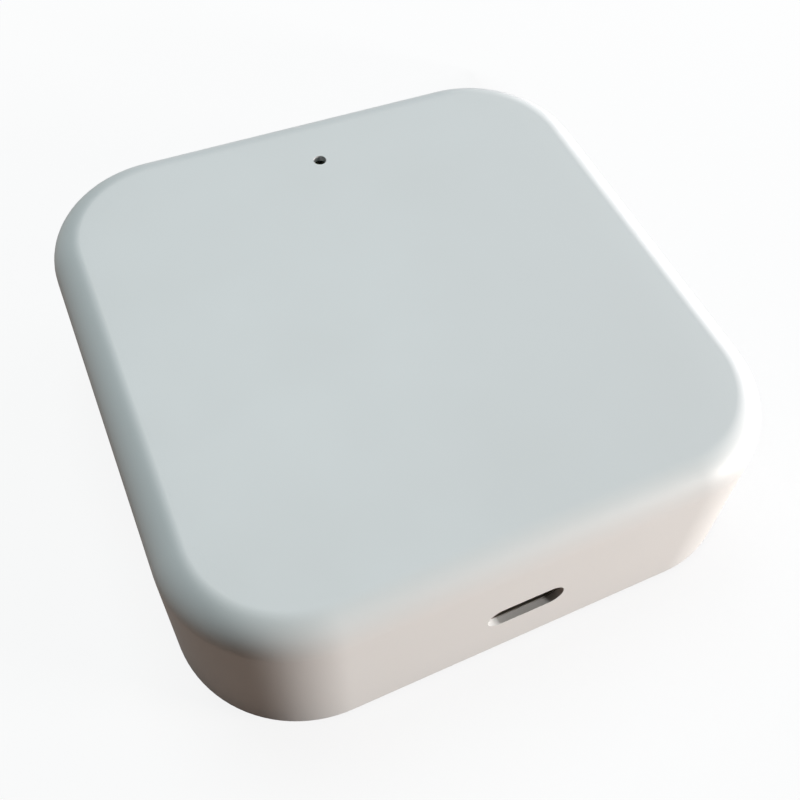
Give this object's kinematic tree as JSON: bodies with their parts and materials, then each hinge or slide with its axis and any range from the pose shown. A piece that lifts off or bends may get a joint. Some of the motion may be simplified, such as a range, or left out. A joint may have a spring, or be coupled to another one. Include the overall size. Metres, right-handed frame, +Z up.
{
  "type": "smart lock wifi gateway",
  "caption": "Square round-cornered wireless gateway for a door lock: drafted one-piece shell, snap-in base on rubber feet, status light hole, small power socket and boards inside.",
  "frame": {"origin": "on the surface under the middle of the four feet", "axes": "+Z up, -Y out of the front wall with the power socket, +X to the right as seen from the front"},
  "size_m": [0.07, 0.07, 0.021],
  "materials": {
    "white_plastic": "fine matt moulding texture",
    "foot_rubber": "matt",
    "screw_steel": "zinc plated",
    "board_laminate": "green solder mask",
    "module_laminate": "dark solder mask",
    "socket_steel": "nickel plated sheet",
    "socket_plastic": "black moulding",
    "contact_gold": "gold plated",
    "shield_steel": "tinned sheet",
    "chip_plastic": "black moulding compound",
    "crystal_metal": "plated lid",
    "trace_copper": "plated copper",
    "lamp_plastic": "white reflector moulding",
    "lamp_resin": "cast resin",
    "pipe_plastic": "clear moulding",
    "can_aluminium": "satin",
    "base_plastic": "black moulding",
    "fuse_plastic": "dark green coating",
    "lead_tin": "tin plated",
    "capacitor_ceramic": "tan ceramic",
    "resistor_ceramic": "black glaze"
  },
  "bodies": {
    "root": {"base_cover": "white_plastic", "board_screw_front_left": "screw_steel", "board_screw_front_right": "screw_steel", "board_screw_rear_left": "screw_steel", "board_screw_rear_right": "screw_steel", "chip_capacitors": "capacitor_ceramic", "chip_resistors": "resistor_ceramic", "circuit_board": "board_laminate", "foot_front_left": "foot_rubber", "foot_front_right": "foot_rubber", "foot_rear_left": "foot_rubber", "foot_rear_right": "foot_rubber", "input_fuse": "fuse_plastic", "lamp_package": "lamp_plastic", "lamp_resin": "lamp_resin", "light_pipe": "pipe_plastic", "memory_chip": "chip_plastic", "radio_antenna": "trace_copper", "radio_chip": "chip_plastic", "radio_crystal": "crystal_metal", "radio_module_board": "module_laminate", "regulator_body": "chip_plastic", "regulator_leads": "lead_tin", "reservoir_base": "base_plastic", "reservoir_can": "can_aluminium", "surge_diode_body": "chip_plastic", "surge_diode_leads": "lead_tin", "top_shell": "white_plastic", "usb_contacts": "contact_gold", "usb_receptacle_insulator": "socket_plastic", "usb_receptacle_shell": "socket_steel", "wifi_antenna": "trace_copper", "wifi_chip": "chip_plastic", "wifi_crystal": "crystal_metal", "wifi_module_board": "module_laminate", "wifi_shield_can": "shield_steel"}
  },
  "joints": []
}
